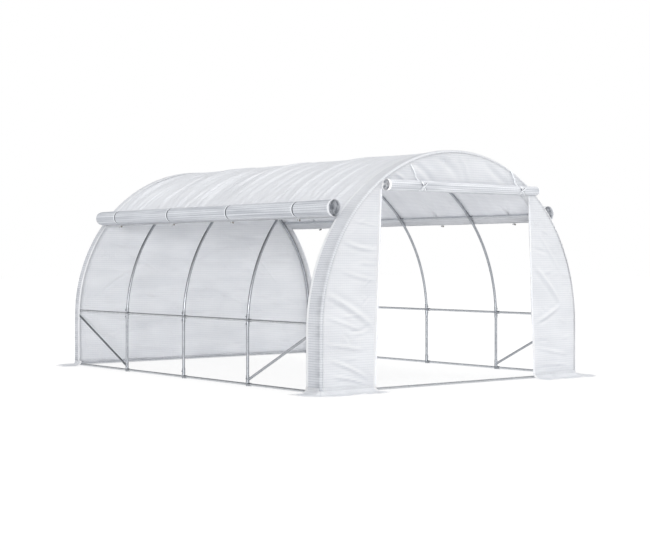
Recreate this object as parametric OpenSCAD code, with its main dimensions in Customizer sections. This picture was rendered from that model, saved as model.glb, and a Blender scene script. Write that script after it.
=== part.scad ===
// Walk-in polytunnel greenhouse: round steel hoops on straight legs, joined by rails and
// purlins, under a woven cover. Both sides and the door are rolled up and tied.
// X runs across the tunnel, Y along it from the door to the closed end, Z up.
// The origin is on the ground, in the middle of the plan.

/* [Tunnel] */
// Width over the hoop tubes
tunnel_w = 3000; // [2600:50:3600]
// Length over the end hoops
tunnel_l = 4000; // [3200:50:5000]
// Height over the hoop tubes
tunnel_h = 2000; // [1900:20:2400]

/* [Frame] */
// Diameter of the hoop and leg tubes
hoop_d = 25; // [22:0.5:30]
// Diameter of the rails, purlins and sills
rail_d = 22; // [18:0.5:24]
// Diameter of the corner braces
brace_d = 22; // [16:0.5:24]
// Height of the side rails' axis over the top of the legs
mid_rail_rise = 56; // [50:2:90]
// Angle of the shoulder purlins above level, round the hoop
shoulder_a = 41; // [40:0.5:60]
// Drop from the side rail's axis to where a brace's axis meets the end hoop's
brace_drop = 21; // [20:1:26]
// Rise from the base rail's axis to where a brace's axis meets the next leg's
brace_foot_rise = 34; // [32:1:38]

/* [Fittings] */
// Wall of the sleeves round the hoops
sleeve_wall = 2.2; // [1.6:0.1:4]
// Wall of the sockets that hold the rails
socket_wall = 2.7; // [2:0.1:3.5]
// Height of the lowest sockets over the ground
socket_lift = 2; // [0.5:0.5:8]
// Reach of a socket from the hoop's axis
socket_l = 48; // [36:2:80]
// Length of the sleeve round a leg at the ground
foot_sleeve_h = 90; // [84:2:140]
// Half the length of a tee's sleeve along the hoop
tee_half_l = 54; // [40:1:55]
// Clearance between pieces that fit
fit_gap = 0.3; // [0.2:0.05:0.6]

/* [Cover] */
// Thickness of the cover, folded hems included
sheet_t = 3; // [2:0.5:6]
// Width of the fixed strip of cover beside the door end
front_band_w = 180; // [120:5:260]
// Width of the fixed strip of cover beside the closed end
rear_band_w = 145; // [100:5:260]
// Height at which the walls turn out into the skirts
skirt_z = 30; // [24:1:45]
// Reach of the skirts from the walls, along the ground
skirt_w = 200; // [120:5:300]

/* [Rolled sides] */
// Diameter of a rolled-up side
side_roll_d = 145; // [100:5:200]
// Angle of the side rolls above level, round the hoop
side_roll_a = 38.8; // [34:0.2:39]
// Distance of the side rolls' front ends from the front of the frame
side_roll_inset = 143; // [60:1:200]
// Overhang of the side rolls past the back of the frame
side_roll_overhang = 35; // [0:1:80]
// Ties on each side roll
tie_count = 4; // [3:1:5]
// Spacing of the ties along a side roll
tie_pitch = 975; // [600:5:1000]
// Distance of the left roll's first tie from the front of the frame
left_tie_inset = 650; // [300:10:700]
// Distance of the right roll's first tie from the front of the frame
right_tie_inset = 500; // [300:10:700]
// Width of the ties
tie_w = 14; // [8:1:30]
// Thickness of the ties
tie_t = 2; // [1:0.5:3]
// Diameter of a tie's toggle
toggle_d = 12; // [8:1:20]
// Length of a tie's toggle
toggle_l = 28; // [15:1:40]

/* [Door] */
// Height of the top of the door opening
door_top_z = 1650; // [1500:10:1660]
// Half of the door opening's width at its top
door_top_half = 865; // [600:5:870]
// Half of the door opening's width at the ground
door_foot_half = 930; // [600:5:1000]
// Diameter of the rolled-up door
door_roll_d = 100; // [70:5:120]
// Height of the door roll's axis
door_roll_z = 1680; // [1650:5:1700]
// Reach of the door roll to the left of the middle
door_roll_left = 870; // [700:5:900]
// Reach of the door roll to the right of the middle
door_roll_right = 955; // [700:5:980]
// Place of the left door tie, left of the middle
door_tie_left = 490; // [300:10:700]
// Place of the right door tie, right of the middle
door_tie_right = 690; // [300:10:700]
// Height of the seam that a door tie hangs from
door_tie_top_z = 1860; // [1780:5:1880]
// Width of the zips beside the door
zip_w = 16; // [10:1:30]
// Thickness of the zips
zip_t = 2; // [1:0.5:4]

/* [Hidden] */
// Each hoop's arch has its own node
hoop_count = 5;
$fn = 96;
// Sides of a full turn of a long bend
BEND_FN = 360;
// Angle that one straight stretch of a curved sheet spans
ARC_STEP = 3;
// Half the angle over which a tie's ring is open, where the roll lies against the cover
RING_OPEN_A = 20;
// Extra reach of a cut past what it cuts
PAST = 1;

STEEL = "#8f949a";
FITTING = "#6f747b";
COVER = "#e6e9ee";
PANEL = "#dfe3e9";
ROLL = "#c9ced5";
TIE = "#f4f6f9";

// Frame
hoop_r = (tunnel_w - hoop_d) / 2;
leg_h = tunnel_h - tunnel_w / 2;
hoop_pitch = (tunnel_l - hoop_d) / (hoop_count - 1);
front_y = -tunnel_l / 2;
rear_y = tunnel_l / 2;
mid_a = asin(mid_rail_rise / hoop_r);
tee_half_a = tee_half_l / hoop_r * 180 / PI;
hoop_bore = hoop_d + 2 * fit_gap;
rail_bore = rail_d + 2 * fit_gap;
sleeve_d = hoop_bore + 2 * sleeve_wall;
socket_d = rail_bore + 2 * socket_wall;
base_rail_z = socket_d / 2 + socket_lift;
last = hoop_count - 1;

// Cover, lying on the sleeves, which stand proud of the hoops
proud = (sleeve_d - hoop_d) / 2;
panel_r = tunnel_w / 2 + proud;
panel_front = front_y - proud - fit_gap;
panel_rear = rear_y + proud + fit_gap;
skin_in = panel_r + fit_gap;
skin_out = skin_in + sheet_t;
skin_front = panel_front - sheet_t;
skin_rear = panel_rear + sheet_t;
wall_z = skirt_z + fit_gap;
gap_a = fit_gap / skin_in * 180 / PI;
// The roof runs a little way down behind the side rolls
roof_a = side_roll_a - 1.5;

// Rolls
side_roll_r = side_roll_d / 2;
side_roll_c = skin_out + fit_gap + side_roll_r;
side_roll_front = front_y + side_roll_inset;
side_roll_rear = rear_y + side_roll_overhang;
door_roll_r = door_roll_d / 2;
door_roll_y = skin_front - fit_gap - door_roll_r;

// A rail starts at the hoop's tube inside the first socket, and elsewhere at a sleeve
function rail_start(i) = (i == 0 ? hoop_d : sleeve_d) / 2 + fit_gap;
function hoop_y(i) = front_y + hoop_d / 2 + i * hoop_pitch;
// Point at an angle above level and a distance from the hoops' centre line, in X and Z
function round_hoop(a, r) = [r * cos(a), leg_h + r * sin(a)];
function arc_points(r, a0, a1) =
    let (n = max(1, ceil(abs(a1 - a0) / ARC_STEP)))
    [for (k = [0 : n]) round_hoop(a0 + (a1 - a0) * k / n, r)];
// Angle above level of the end panels' rim at a height over the legs
function rim_angle(z) = asin((z - leg_h) / panel_r);

// side is -1 for the left and 1 for the right
module on_side(side) {
    if (side < 0) mirror([1, 0, 0]) children();
    else children();
}

// Turns an outline in X and Z into a plate from one Y to another
module plate(points, y0, y1) {
    translate([0, y1, 0]) rotate([90, 0, 0]) linear_extrude(y1 - y0) polygon(points);
}

// Ring or rod bent round the hoops' centre line, from one angle to another
module bent_tube(y, d, a0, a1) {
    translate([0, y, leg_h]) rotate([90, 0, 0]) rotate([0, 0, a0])
        rotate_extrude(angle = a1 - a0, $fn = BEND_FN) translate([hoop_r, 0])
            circle(d = d, $fn = 96);
}

// Round bar along Y
module bar_y(x, z, d, y0, y1) {
    translate([x, y0, z]) rotate([-90, 0, 0]) cylinder(h = y1 - y0, d = d);
}

// Round bar along X
module bar_x(y, z, d, x0, x1) {
    translate([x0, y, z]) rotate([0, 90, 0]) cylinder(h = x1 - x0, d = d);
}

module arch(i) {
    color(STEEL) bent_tube(hoop_y(i), hoop_d, 0, 180);
}

module legs(side) {
    color(STEEL) for (i = [0 : last])
        translate([side * hoop_r, hoop_y(i), 0]) cylinder(h = leg_h, d = hoop_d);
}

// One length of rail in each bay, from a sleeve into the next hoop's socket
module rail(x, z) {
    color(STEEL) for (i = [0 : last - 1])
        bar_y(x, z, rail_d, hoop_y(i) + rail_start(i), hoop_y(i + 1) - hoop_d / 2 - fit_gap);
}

module rail_round_hoop(a) {
    p = round_hoop(a, hoop_r);
    rail(p[0], p[1]);
}

module sill(y) {
    reach = hoop_r - hoop_d / 2 - fit_gap;
    color(STEEL) bar_x(y, base_rail_z, rail_d, -reach, reach);
}

// A socket points along Y to the hoop in front, and on the first hoop to the one behind
module socket(i, x, z, d, reach) {
    if (i > 0) bar_y(x, z, d, hoop_y(i) - reach, hoop_y(i));
    else bar_y(x, z, d, hoop_y(i), hoop_y(i) + reach);
}

module foot_socket(i, side) {
    corner = i == 0 || i == last;
    inward = side * (hoop_r - socket_l);
    x0 = min(side * hoop_r, inward);
    x1 = max(side * hoop_r, inward);
    color(FITTING) difference() {
        union() {
            translate([side * hoop_r, hoop_y(i), 0]) cylinder(h = foot_sleeve_h, d = sleeve_d);
            socket(i, side * hoop_r, base_rail_z, socket_d, socket_l);
            if (corner) bar_x(hoop_y(i), base_rail_z, socket_d, x0, x1);
        }
        translate([side * hoop_r, hoop_y(i), -PAST])
            cylinder(h = foot_sleeve_h + 2 * PAST, d = hoop_bore);
        socket(i, side * hoop_r, base_rail_z, rail_bore, socket_l + PAST);
        if (corner) bar_x(hoop_y(i), base_rail_z, rail_bore, x0 - PAST, x1 + PAST);
    }
}

module foot_sockets(side) {
    for (i = [0 : last]) foot_socket(i, side);
}

// Sleeve round a hoop with a socket for the rail's end
module tee(i, a) {
    p = round_hoop(a, hoop_r);
    cut_a = tee_half_a + PAST / hoop_r * 180 / PI;
    color(FITTING) difference() {
        union() {
            bent_tube(hoop_y(i), sleeve_d, a - tee_half_a, a + tee_half_a);
            socket(i, p[0], p[1], socket_d, socket_l);
        }
        bent_tube(hoop_y(i), hoop_bore, a - cut_a, a + cut_a);
        socket(i, p[0], p[1], rail_bore, socket_l + PAST);
    }
}

module mid_tees(side) {
    on_side(side) for (i = [0 : last]) tee(i, mid_a);
}

module purlin_tees() {
    for (i = [0 : last]) {
        tee(i, shoulder_a);
        tee(i, 90);
        tee(i, 180 - shoulder_a);
    }
}

// Brace from the side rail's tee on an end hoop down to the foot of the next hoop.
// Its ends are cut round the sleeves that hold them.
module brace(side, end_i, next_i) {
    high_y = hoop_y(end_i);
    low_y = hoop_y(next_i);
    high_z = leg_h + mid_rail_rise - brace_drop;
    low_z = base_rail_z + brace_foot_rise;
    run = low_y - high_y;
    drop = high_z - low_z;
    long = sqrt(run * run + drop * drop);
    tilt = atan2(run, -drop);
    cut_d = sleeve_d + 2 * fit_gap;
    color(STEEL) difference() {
        translate([side * hoop_r, high_y, high_z]) rotate([-tilt, 0, 0])
            cylinder(h = long, d = brace_d);
        for (y = [high_y, low_y])
            translate([side * hoop_r, y, 0]) cylinder(h = tunnel_h, d = cut_d);
    }
}

module braces(side) {
    brace(side, 0, 1);
    brace(side, last, last - 1);
}

module roof_cover() {
    color(COVER) translate([0, skin_rear, leg_h]) rotate([90, 0, 0]) rotate([0, 0, roof_a])
        rotate_extrude(angle = 180 - 2 * roof_a, $fn = BEND_FN) translate([skin_in, 0])
            square([sheet_t, skin_rear - skin_front]);
}

// Fixed strip of cover at an end, from the skirt up to the roof
module band(side, y0, y1) {
    chord_in = skin_in / cos(ARC_STEP / 2);
    top = roof_a - gap_a;
    outer = concat([[skin_out, wall_z]], arc_points(skin_out, 0, top));
    inner = concat(arc_points(chord_in, top, 0), [[skin_in, leg_h], [skin_in, wall_z]]);
    color(COVER) on_side(side) plate(concat(outer, inner), y0, y1);
}

// Flat end panel between the door and the hoop
module front_panel(side) {
    top = door_top_z - fit_gap;
    rim = concat([[panel_r, wall_z]], arc_points(panel_r, 0, rim_angle(top)));
    outline = concat(rim, [[door_top_half, top], [door_foot_half, wall_z]]);
    color(PANEL) on_side(side) plate(outline, skin_front, panel_front);
}

module gable_panel() {
    a = rim_angle(door_top_z);
    color(PANEL) plate(arc_points(panel_r, a, 180 - a), skin_front, panel_front);
}

module rear_wall() {
    outline = concat([[panel_r, wall_z]], arc_points(panel_r, 0, 180), [[-panel_r, wall_z]]);
    color(PANEL) plate(outline, panel_rear, skin_rear);
}

// Zip tape in front of a door panel's edge
module door_zip(side) {
    top = door_top_z - fit_gap;
    foot = [door_foot_half, wall_z];
    head = [door_top_half, top];
    outline = [foot, foot + [zip_w, 0], head + [zip_w, 0], head];
    color(TIE) on_side(side) plate(outline, skin_front - fit_gap - zip_t, skin_front - fit_gap);
}

module side_roll(side) {
    p = round_hoop(side_roll_a, side_roll_c);
    color(ROLL) bar_y(side * p[0], p[1], side_roll_d, side_roll_front, side_roll_rear);
}

// Strap round a roll that lies along Z at the origin; its open side faces -X
module tie_ring(roll_r) {
    rotate([0, 0, RING_OPEN_A - 180]) rotate_extrude(angle = 360 - 2 * RING_OPEN_A)
        translate([roll_r + fit_gap, -tie_w / 2]) square([tie_t, tie_w]);
}

function tie_y(side, k) = front_y + (side < 0 ? left_tie_inset : right_tie_inset) + k * tie_pitch;

module side_ties(side) {
    p = round_hoop(side_roll_a, side_roll_c);
    color(TIE) for (k = [0 : tie_count - 1])
        on_side(side) translate([p[0], tie_y(side, k), p[1]]) rotate([90, -side_roll_a, 0])
            tie_ring(side_roll_r);
}

// Toggles hang from the lowest point of the ties
module tie_toggles() {
    p = round_hoop(side_roll_a, side_roll_c);
    top = p[1] - side_roll_r - tie_t - 2 * fit_gap;
    color(FITTING) for (side = [-1, 1]) for (k = [0 : tie_count - 1])
        translate([side * p[0], tie_y(side, k), top - toggle_l]) cylinder(h = toggle_l, d = toggle_d);
}

module door_roll() {
    color(ROLL) bar_x(door_roll_y, door_roll_z, door_roll_d, -door_roll_left, door_roll_right);
}

// A ring round the door roll and a strap up the gable to its seam
module door_ties() {
    ring_top = door_roll_z + door_roll_r + tie_t + 2 * fit_gap;
    color(TIE) for (x = [-door_tie_left, door_tie_right]) {
        translate([x, door_roll_y, door_roll_z]) rotate([0, 90, 0]) rotate([0, 0, -90])
            tie_ring(door_roll_r);
        translate([x - tie_w / 2, skin_front - fit_gap - tie_t, ring_top])
            cube([tie_w, tie_t, door_tie_top_z - ring_top]);
    }
}

// Slope of cover from the foot of a wall out to the ground; reach runs along X
function skirt_slope(wall) = [
    [wall, skirt_z], [wall, skirt_z - sheet_t], [wall + skirt_w, 0], [wall + skirt_w, sheet_t]
];

module side_skirts(side) {
    color(COVER) on_side(side) {
        plate(skirt_slope(skin_in), skin_front, front_y + front_band_w);
        plate(skirt_slope(skin_in), rear_y - rear_band_w, skin_rear);
    }
}

// Skirt along X, on the front (facing -1) or the rear (facing 1), from one X to another
module end_skirt(facing, x0, x1) {
    wall = facing < 0 ? -panel_front : panel_rear;
    translate([(x0 + x1) / 2, 0, 0]) rotate([0, 0, facing * 90])
        plate(skirt_slope(wall), -(x1 - x0) / 2, (x1 - x0) / 2);
}

module front_skirts() {
    color(COVER) {
        end_skirt(-1, -panel_r, -door_foot_half);
        end_skirt(-1, door_foot_half, panel_r);
    }
}

module rear_skirt() {
    color(COVER) end_skirt(1, -panel_r, panel_r);
}

arch(0);  // arch_1
arch(1);  // arch_2
arch(2);  // arch_3
arch(3);  // arch_4
arch(4);  // arch_5
legs(-1);  // legs_left
legs(1);  // legs_right
rail(-hoop_r, base_rail_z);  // base_rail_left
rail(hoop_r, base_rail_z);  // base_rail_right
rail_round_hoop(180 - mid_a);  // mid_rail_left
rail_round_hoop(mid_a);  // mid_rail_right
rail_round_hoop(180 - shoulder_a);  // shoulder_purlin_left
rail_round_hoop(shoulder_a);  // shoulder_purlin_right
rail_round_hoop(90);  // ridge_purlin
sill(hoop_y(0));  // front_sill
sill(hoop_y(last));  // rear_sill
braces(-1);  // braces_left
braces(1);  // braces_right
foot_sockets(-1);  // foot_sockets_left
foot_sockets(1);  // foot_sockets_right
mid_tees(-1);  // mid_tees_left
mid_tees(1);  // mid_tees_right
purlin_tees();
roof_cover();
band(-1, skin_front, front_y + front_band_w);  // front_band_left
band(1, skin_front, front_y + front_band_w);  // front_band_right
band(-1, rear_y - rear_band_w, skin_rear);  // rear_band_left
band(1, rear_y - rear_band_w, skin_rear);  // rear_band_right
gable_panel();
front_panel(-1);  // front_panel_left
front_panel(1);  // front_panel_right
rear_wall();
side_roll(-1);  // side_roll_left
side_roll(1);  // side_roll_right
door_roll();
side_ties(-1);  // side_ties_left
side_ties(1);  // side_ties_right
tie_toggles();
door_ties();
door_zip(-1);  // door_zip_left
door_zip(1);  // door_zip_right
side_skirts(-1);  // side_skirts_left
side_skirts(1);  // side_skirts_right
front_skirts();
rear_skirt();
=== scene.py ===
import math

import bmesh
import bpy
import numpy as np
from mathutils import Euler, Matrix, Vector


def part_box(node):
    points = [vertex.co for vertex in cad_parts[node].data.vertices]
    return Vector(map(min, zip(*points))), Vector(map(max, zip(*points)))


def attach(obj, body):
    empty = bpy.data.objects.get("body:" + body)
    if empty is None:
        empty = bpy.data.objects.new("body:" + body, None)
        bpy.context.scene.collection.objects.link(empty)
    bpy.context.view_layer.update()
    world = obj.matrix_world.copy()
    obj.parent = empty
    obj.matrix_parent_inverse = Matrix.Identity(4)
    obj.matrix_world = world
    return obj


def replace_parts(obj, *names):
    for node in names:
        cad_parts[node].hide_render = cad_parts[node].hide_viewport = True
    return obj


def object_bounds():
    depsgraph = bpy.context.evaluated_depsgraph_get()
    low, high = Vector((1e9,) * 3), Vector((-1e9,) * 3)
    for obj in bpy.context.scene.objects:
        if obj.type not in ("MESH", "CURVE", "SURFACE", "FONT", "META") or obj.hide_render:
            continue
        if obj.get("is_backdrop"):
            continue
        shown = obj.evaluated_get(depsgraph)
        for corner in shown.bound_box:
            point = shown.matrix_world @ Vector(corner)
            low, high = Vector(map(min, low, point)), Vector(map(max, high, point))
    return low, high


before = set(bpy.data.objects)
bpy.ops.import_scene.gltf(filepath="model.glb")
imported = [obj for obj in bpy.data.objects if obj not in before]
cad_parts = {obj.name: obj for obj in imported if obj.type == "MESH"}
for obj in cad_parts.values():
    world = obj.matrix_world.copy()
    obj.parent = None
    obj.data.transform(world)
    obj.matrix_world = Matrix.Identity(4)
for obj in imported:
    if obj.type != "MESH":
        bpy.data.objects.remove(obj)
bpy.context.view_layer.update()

bpy.ops.object.select_all(action="DESELECT")
MM = 0.001
SIDES = ("left", "right")

# ---------------------------------------------------------------- sizes from the frame
ARCH_LOW, ARCH_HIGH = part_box("arch_1")
TUBE_R = (ARCH_HIGH.y - ARCH_LOW.y) / 2
HOOP_R = ARCH_HIGH.x - TUBE_R
LEG_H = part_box("legs_left")[1].z
HOOP_Y = [sum(corner.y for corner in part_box(f"arch_{i}")) / 2 for i in range(1, 6)]
ROOF_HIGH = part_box("roof_cover")[1]
SKIN_R = ROOF_HIGH.z - LEG_H
COVER_T = 3 * MM  # how thick the solids that stand for the cover are
CLOTH_R = SKIN_R - COVER_T / 2
CLOTH_H = CLOTH_R - HOOP_R
FILM_T = 0.8 * MM
ROOF_A = math.acos(ROOF_HIGH.x / SKIN_R)
FRONT_BAND_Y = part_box("front_band_left")[1].y
REAR_BAND_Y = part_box("rear_band_left")[0].y
REAR_EDGE_Y = REAR_BAND_Y + 45 * MM  # the sewn edge of the rear strip
WALL_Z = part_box("front_band_left")[0].z
HALF_TURN = math.pi * CLOTH_R
PATH_END = 2 * LEG_H + HALF_TURN
SHOULDER_LOW, SHOULDER_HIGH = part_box("shoulder_purlin_right")
RAIL_R = (SHOULDER_HIGH.z - SHOULDER_LOW.z) / 2
SHOULDER_A = math.asin(((SHOULDER_LOW.z + SHOULDER_HIGH.z) / 2 - LEG_H) / HOOP_R)

# ---------------------------------------------------------------- materials


def linear(code):
    """Linear colour from an sRGB hex value."""
    parts = [int(code[i : i + 2], 16) / 255 for i in (1, 3, 5)]
    return (*[p / 12.92 if p <= 0.04045 else ((p + 0.055) / 1.055) ** 2.4 for p in parts], 1.0)


def node(tree, kind, inputs=(), out=0, **settings):
    """Adds a shader node with its settings, gives its inputs values or links, and returns an output."""
    made = tree.nodes.new("ShaderNode" + kind)
    for key, value in settings.items():
        setattr(made, key, value)
    for key, value in dict(inputs).items():
        if isinstance(value, bpy.types.NodeSocket):
            tree.links.new(value, made.inputs[key])
        else:
            made.inputs[key].default_value = value
    return made.outputs[out] if made.outputs else made


SMOOTH = {"interpolation_type": "SMOOTHSTEP"}


def new_material(name):
    """An empty material and its tree."""
    made = bpy.data.materials.new(name)
    made.use_nodes = True
    made.node_tree.nodes.clear()
    return made, made.node_tree


def finish_material(tree, colour, roughness, height, metallic=0.0, through=0.0):
    """Joins colour, roughness and relief (a height in metres) to a surface. through is the share of light
    that it lets through."""
    bump = node(tree, "Bump", {"Distance": 1.0, "Height": height})
    look = {"Base Color": colour, "Roughness": roughness, "Metallic": metallic, "Normal": bump}
    surface = node(tree, "BsdfPrincipled", look)
    if through:
        behind = node(tree, "BsdfTranslucent", {"Color": colour, "Normal": bump})
        surface = node(tree, "MixShader", {0: through, 1: surface, 2: behind})
    node(tree, "OutputMaterial", {"Surface": surface})


GRID_PITCH = 20 * MM  # the reinforcing threads stand 10 mm apart; every other one is drawn, to show
THREAD_W = 5 * MM  # a thread is 1.5 mm wide, drawn wider to show
HEM_W = 28 * MM
STITCH_PITCH = 10 * MM  # a stitch is 4 mm long, drawn longer to show


def reinforced_film(
    name, film, thread, hem, shade, through, folds, fold_height, fold_painted_shade, creased=0.0, dull=None
):
    """Coated woven polyethylene: a milky film with a square grid of thicker threads and a soft gloss.
    Its hems are double, so they look whiter, and a row of stitches runs along them. folds is how many small
    folds come to a metre along each direction of the cloth. shade is how much darker the threads look, and
    the fold shade how much painted shade darkens the hollows of the folds. creased is how much the sharp
    creases from the carton show, whitened by the strain. dull is painted shade that greys the film where
    shade falls, on the turns inside a roll, seen at its ends, and beside a seam low on a strip: an axis of
    the cloth, where on it that starts, the metres over which it changes, and by how much. A point attribute
    of the sheet adds painted light, paler, above 0 and painted shade, darker, below 0."""
    made, tree = new_material(name)
    cloth = node(tree, "UVMap", uv_map="cloth")
    flat = [node(tree, "SeparateXYZ", {0: cloth}, out=k) for k in (0, 1)]
    place = node(tree, "TexCoord", out="Object")
    from_edge, slack, painted_light = (
        node(tree, "Attribute", attribute_name=title, out="Fac") for title in ("hem", "slack", "painted_light")
    )
    lines = []
    for way in flat:
        off = node(tree, "Math", {0: way, 1: GRID_PITCH / 2}, operation="PINGPONG")
        core = {0: off, 1: THREAD_W * 0.3, 2: THREAD_W * 0.6, 3: 1.0, 4: 0.0}
        lines.append(node(tree, "MapRange", core, **SMOOTH))
    # the second set of threads is thinner
    thin = node(tree, "Math", {0: lines[1], 1: 0.5}, operation="MULTIPLY")
    grid = node(tree, "Math", {0: lines[0], 1: thin}, operation="MAXIMUM")
    # cloudy unevenness of the film, 250 mm across
    cloud = node(tree, "TexNoise", {"Vector": place, "Scale": 4.0, "Detail": 3.0})
    # crumples of stiff film, 20 to 80 mm across
    crumple = node(tree, "TexNoise", {"Vector": place, "Scale": 13.0, "Detail": 4.0, "Distortion": 1.0})
    # long narrow folds along one direction
    pulled = node(tree, "VectorMath", {0: cloth, 1: (*folds, 1.0)}, operation="MULTIPLY")
    fold = node(tree, "TexNoise", {"Vector": pulled, "Scale": 1.0, "Detail": 3.0, "Distortion": 0.5})
    fold = node(tree, "Mix", {0: slack, 2: 0.5, 3: fold})
    # sharp creases, 0.3 m apart and 12 mm wide, each only here and there
    wander = node(tree, "TexNoise", {"Vector": place, "Scale": 6.0, "Detail": 3.0}, out="Color")
    bent = node(tree, "VectorMath", {0: wander, 1: (0.35, 0.35, 0.35), 2: place}, operation="MULTIPLY_ADD")
    from_crease = node(tree, "TexVoronoi", {"Vector": bent, "Scale": 3.3}, feature="DISTANCE_TO_EDGE")
    crease_line = node(tree, "MapRange", {0: from_crease, 2: 0.03, 3: 1.0, 4: 0.0}, **SMOOTH)
    kept = node(tree, "MapRange", {0: cloud, 1: 0.42, 2: 0.62}, **SMOOTH)
    crease_line = node(tree, "Math", {0: crease_line, 1: kept}, operation="MULTIPLY")
    # hems and their stitches
    in_hem = node(tree, "MapRange", {0: from_edge, 1: HEM_W - 1 * MM, 2: HEM_W, 3: 1.0, 4: 0.0}, **SMOOTH)
    row = node(tree, "Math", {0: from_edge, 1: HEM_W - 5 * MM, 2: 1.5 * MM}, operation="COMPARE")
    run = node(tree, "Math", {0: flat[0], 1: flat[1]}, operation="ADD")
    beat = node(tree, "Math", {0: run, 1: STITCH_PITCH / 2}, operation="PINGPONG")
    dash = node(tree, "MapRange", {0: beat, 1: 1.5 * MM, 2: 2.5 * MM}, **SMOOTH)
    stitch = node(tree, "Math", {0: row, 1: dash}, operation="MULTIPLY")
    paint = linear(film)
    in_grid, in_crease, in_stitch = (
        node(tree, "Math", {0: share, 1: strength}, operation="MULTIPLY")
        for share, strength in ((grid, shade), (crease_line, creased), (stitch, 0.6))
    )
    in_cloud = node(tree, "MapRange", {0: cloud, 1: 0.3, 2: 0.7, 4: 0.1}, **SMOOTH)
    # painted shade: the hollows of the folds are darkened towards the thread colour
    in_painted_fold_shade = node(tree, "MapRange", {0: fold, 1: 0.62, 2: 0.36, 4: fold_painted_shade}, **SMOOTH)
    # painted light and shade: darker towards the thread colour where the point attribute is below 0, paler
    # towards white above 0
    in_painted_shade = node(tree, "MapRange", {0: painted_light, 2: -0.5, 4: 0.5})
    in_painted_light = node(tree, "MapRange", {0: painted_light, 2: 0.5, 4: 0.55})
    coats = [(share, thread) for share in (in_grid, in_cloud, in_painted_fold_shade)]
    coats += [(in_crease, "#fdfdfe"), (in_painted_shade, thread), (in_painted_light, "#ffffff"), (in_hem, hem)]
    # painted shade: grey in patches where shade falls, on a roll's inner turns and beside a strip's seam
    # where the cloth is slack
    if dull:
        axis, start, clear, grey, most = dull
        inner = node(tree, "MapRange", {0: flat[axis], 1: clear, 2: grey, 4: most}, **SMOOTH)
        painted_shade_patches = node(tree, "MapRange", {0: fold, 1: 0.58, 2: 0.42, 3: 0.4}, **SMOOTH)
        begun = node(tree, "MapRange", {0: flat[axis], 1: start, 2: start + 6 * MM}, **SMOOTH)
        for share in (begun, slack, inner):
            painted_shade_patches = node(tree, "Math", {0: painted_shade_patches, 1: share}, operation="MULTIPLY")
        coats.append((painted_shade_patches, "#999da4"))
    for share, tint in (*coats, (in_stitch, thread)):
        paint = node(tree, "Mix", {0: share, 6: paint, 7: linear(tint)}, out=2, data_type="RGBA")
    rough = node(tree, "MapRange", {0: cloud, 1: 0.25, 2: 0.75, 3: 0.38, 4: 0.52}, **SMOOTH)
    relief = node(tree, "Math", {0: grid, 1: 0.4 * MM}, operation="MULTIPLY")
    for part, size in (
        (crumple, 2.5 * MM), (fold, fold_height), (crease_line, creased * 12 * MM), (in_hem, 0.8 * MM),
        (stitch, -0.6 * MM),
    ):
        relief = node(tree, "Math", {0: part, 1: size, 2: relief}, operation="MULTIPLY_ADD")
    finish_material(tree, paint, rough, relief, through=through)
    return made


def galvanised_steel(name, light, dark, rough_low=0.42, rough_high=0.5):
    """Galvanised steel tube: a dull zinc coat with crystals of 10 mm and faint smears from handling."""
    made, tree = new_material(name)
    place = node(tree, "TexCoord", out="Object")
    crystal = node(tree, "TexVoronoi", {"Vector": place, "Scale": 90.0}, out="Color")
    tint = node(tree, "SeparateXYZ", {0: crystal})
    smear = node(tree, "TexNoise", {"Vector": place, "Scale": 14.0, "Detail": 5.0, "Roughness": 0.6})
    mixed = node(tree, "Mix", {0: 0.65, 2: tint, 3: smear})
    share = node(tree, "MapRange", {0: mixed, 1: 0.2, 2: 0.8}, **SMOOTH)
    paint = node(tree, "Mix", {0: share, 6: linear(light), 7: linear(dark)}, out=2, data_type="RGBA")
    rough = node(tree, "MapRange", {0: smear, 1: 0.3, 2: 0.7, 3: rough_low, 4: rough_high}, **SMOOTH)
    relief = node(tree, "Math", {0: smear, 1: 0.02 * MM}, operation="MULTIPLY")
    finish_material(tree, paint, rough, relief, metallic=1.0)
    return made


def woven_strap(name, pale, shade, edge):
    """Flat polypropylene webbing: ribs across it, 2 mm apart, drawn at 4 mm to show. On one side, from 3 mm
    off the middle out to the edge, it takes the edge colour: dark grey on the side straps and the bows, as
    painted shadow beside them, and near white on the other webbing."""
    made, tree = new_material(name)
    cloth = node(tree, "UVMap", uv_map="cloth")
    ribs = []
    for axis, half_pitch in ((0, 2 * MM), (1, 1.5 * MM)):
        way = node(tree, "SeparateXYZ", {0: cloth}, out=axis)
        off = node(tree, "Math", {0: way, 1: half_pitch}, operation="PINGPONG")
        ribs.append(node(tree, "MapRange", {0: off, 1: 0.3 * MM, 2: 1.2 * MM}, **SMOOTH))
    weave = node(tree, "Math", {0: ribs[0], 1: ribs[1]}, operation="MULTIPLY")
    paint = node(tree, "Mix", {0: weave, 6: linear(shade), 7: linear(pale)}, out=2, data_type="RGBA")
    across = node(tree, "SeparateXYZ", {0: cloth}, out=1)
    # painted shadow: one side of the strap takes the edge colour
    in_painted_shadow = node(tree, "MapRange", {0: across, 1: -2 * MM, 2: -3 * MM}, **SMOOTH)
    paint = node(tree, "Mix", {0: in_painted_shadow, 6: paint, 7: linear(edge)}, out=2, data_type="RGBA")
    rough = node(tree, "MapRange", {0: weave, 3: 0.75, 4: 0.6}, **SMOOTH)
    finish_material(tree, paint, rough, node(tree, "Math", {0: weave, 1: 0.5 * MM}, operation="MULTIPLY"))
    return made


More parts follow.
